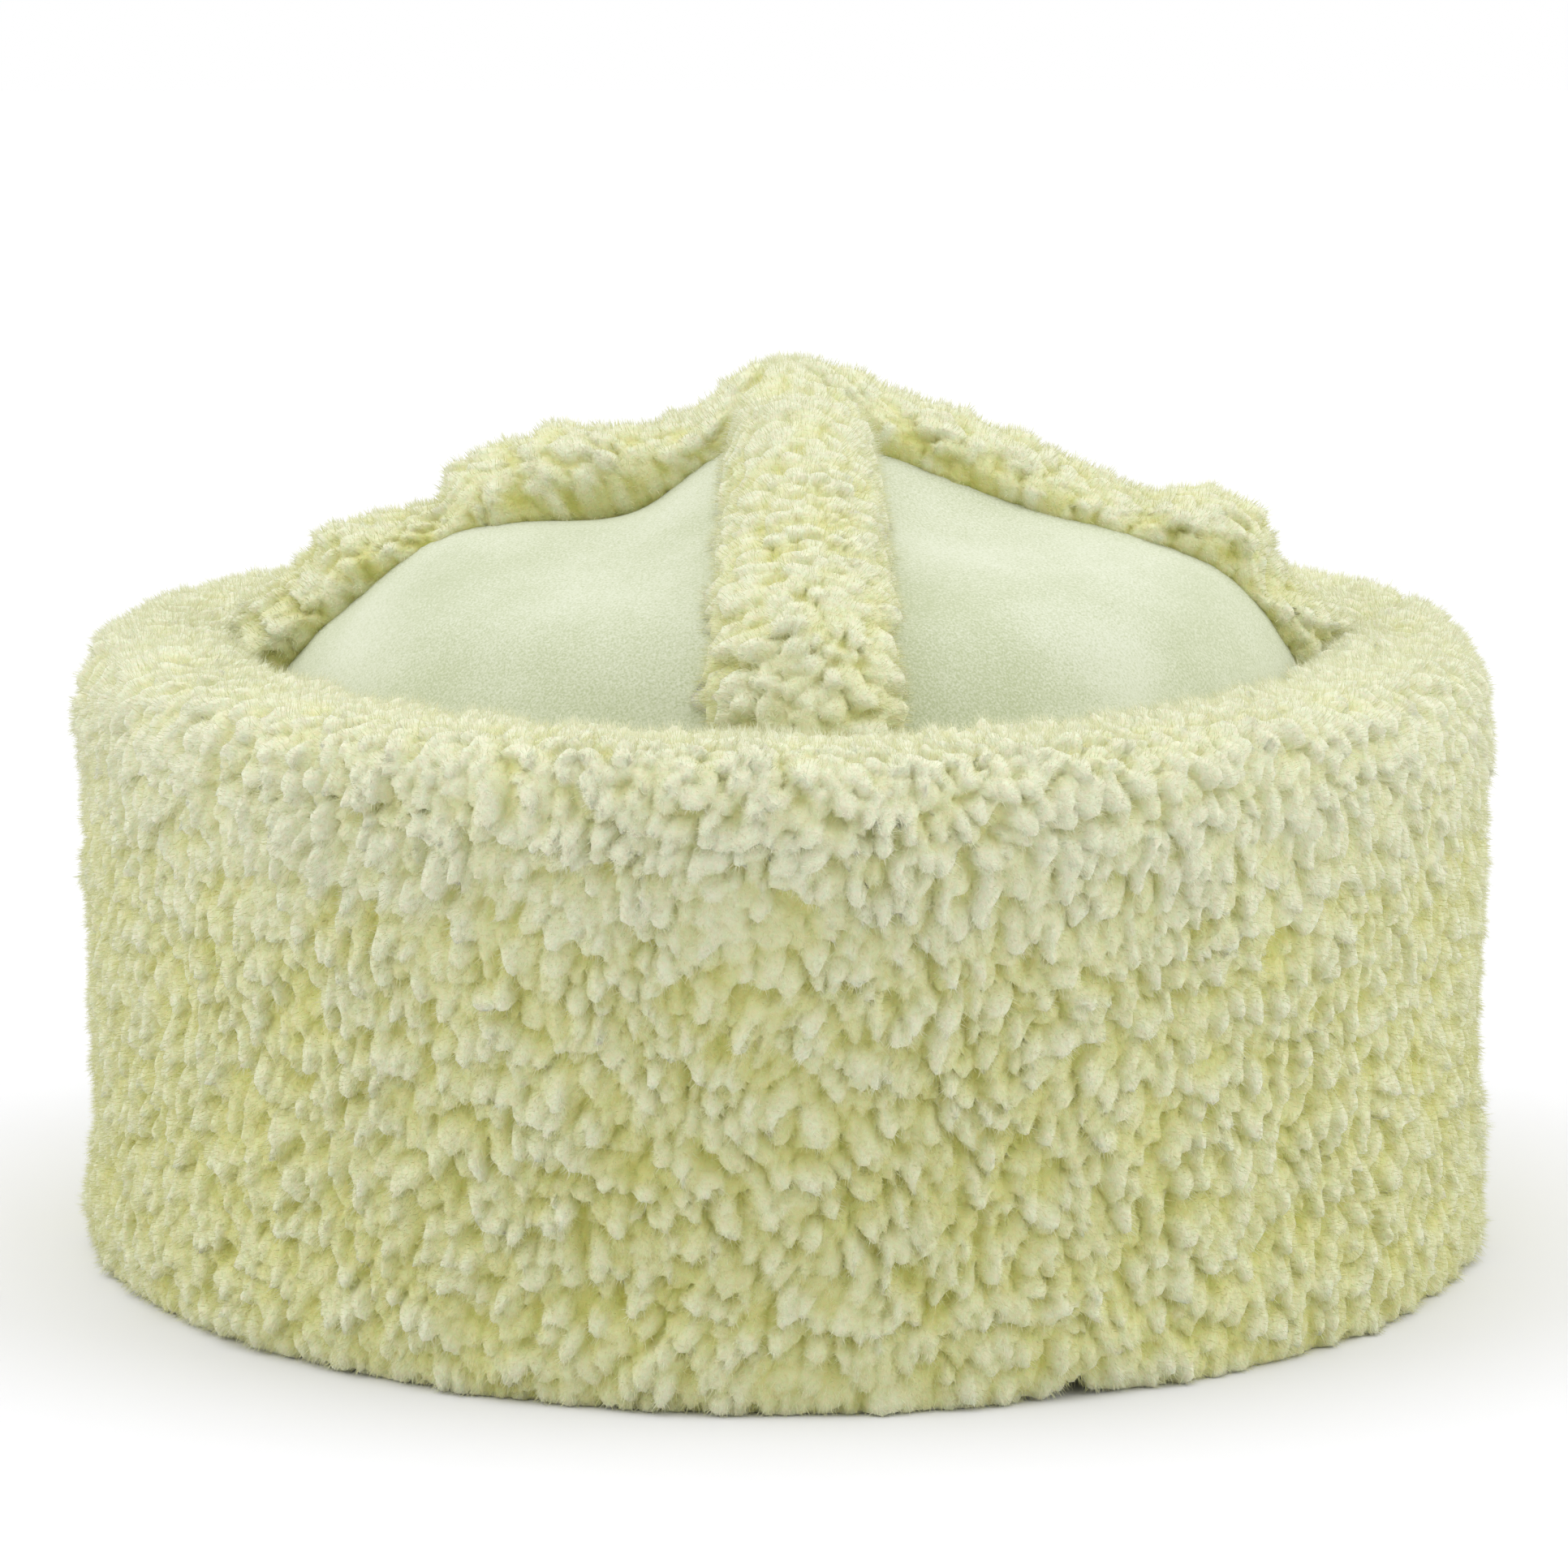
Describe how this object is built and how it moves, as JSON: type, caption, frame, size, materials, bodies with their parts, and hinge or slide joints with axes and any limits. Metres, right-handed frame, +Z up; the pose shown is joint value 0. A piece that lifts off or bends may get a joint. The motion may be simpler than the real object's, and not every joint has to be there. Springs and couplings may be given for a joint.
{
  "type": "shearling hat",
  "caption": "Round hat with a low peaked crown of suede gores, wool trims on its seams and a deep turned-up wool band.",
  "frame": {"origin": "middle of the hem, on the surface that the hat rests on", "axes": "+Z up through the peak, front of the hat towards -Y, +X to the right as seen from the front"},
  "size_m": [0.2519, 0.2578, 0.1585],
  "materials": {
    "suede": "fine suede nap, pale lime green",
    "wool": "clumped shearling wool, pale lime cream"
  },
  "bodies": {
    "root": {"band": "wool", "crown_gore_back_left": "suede", "crown_gore_back_right": "suede", "crown_gore_front_left": "suede", "crown_gore_front_right": "suede", "seam_trim_back": "wool", "seam_trim_front": "wool", "seam_trim_left": "wool", "seam_trim_right": "wool"}
  },
  "joints": []
}
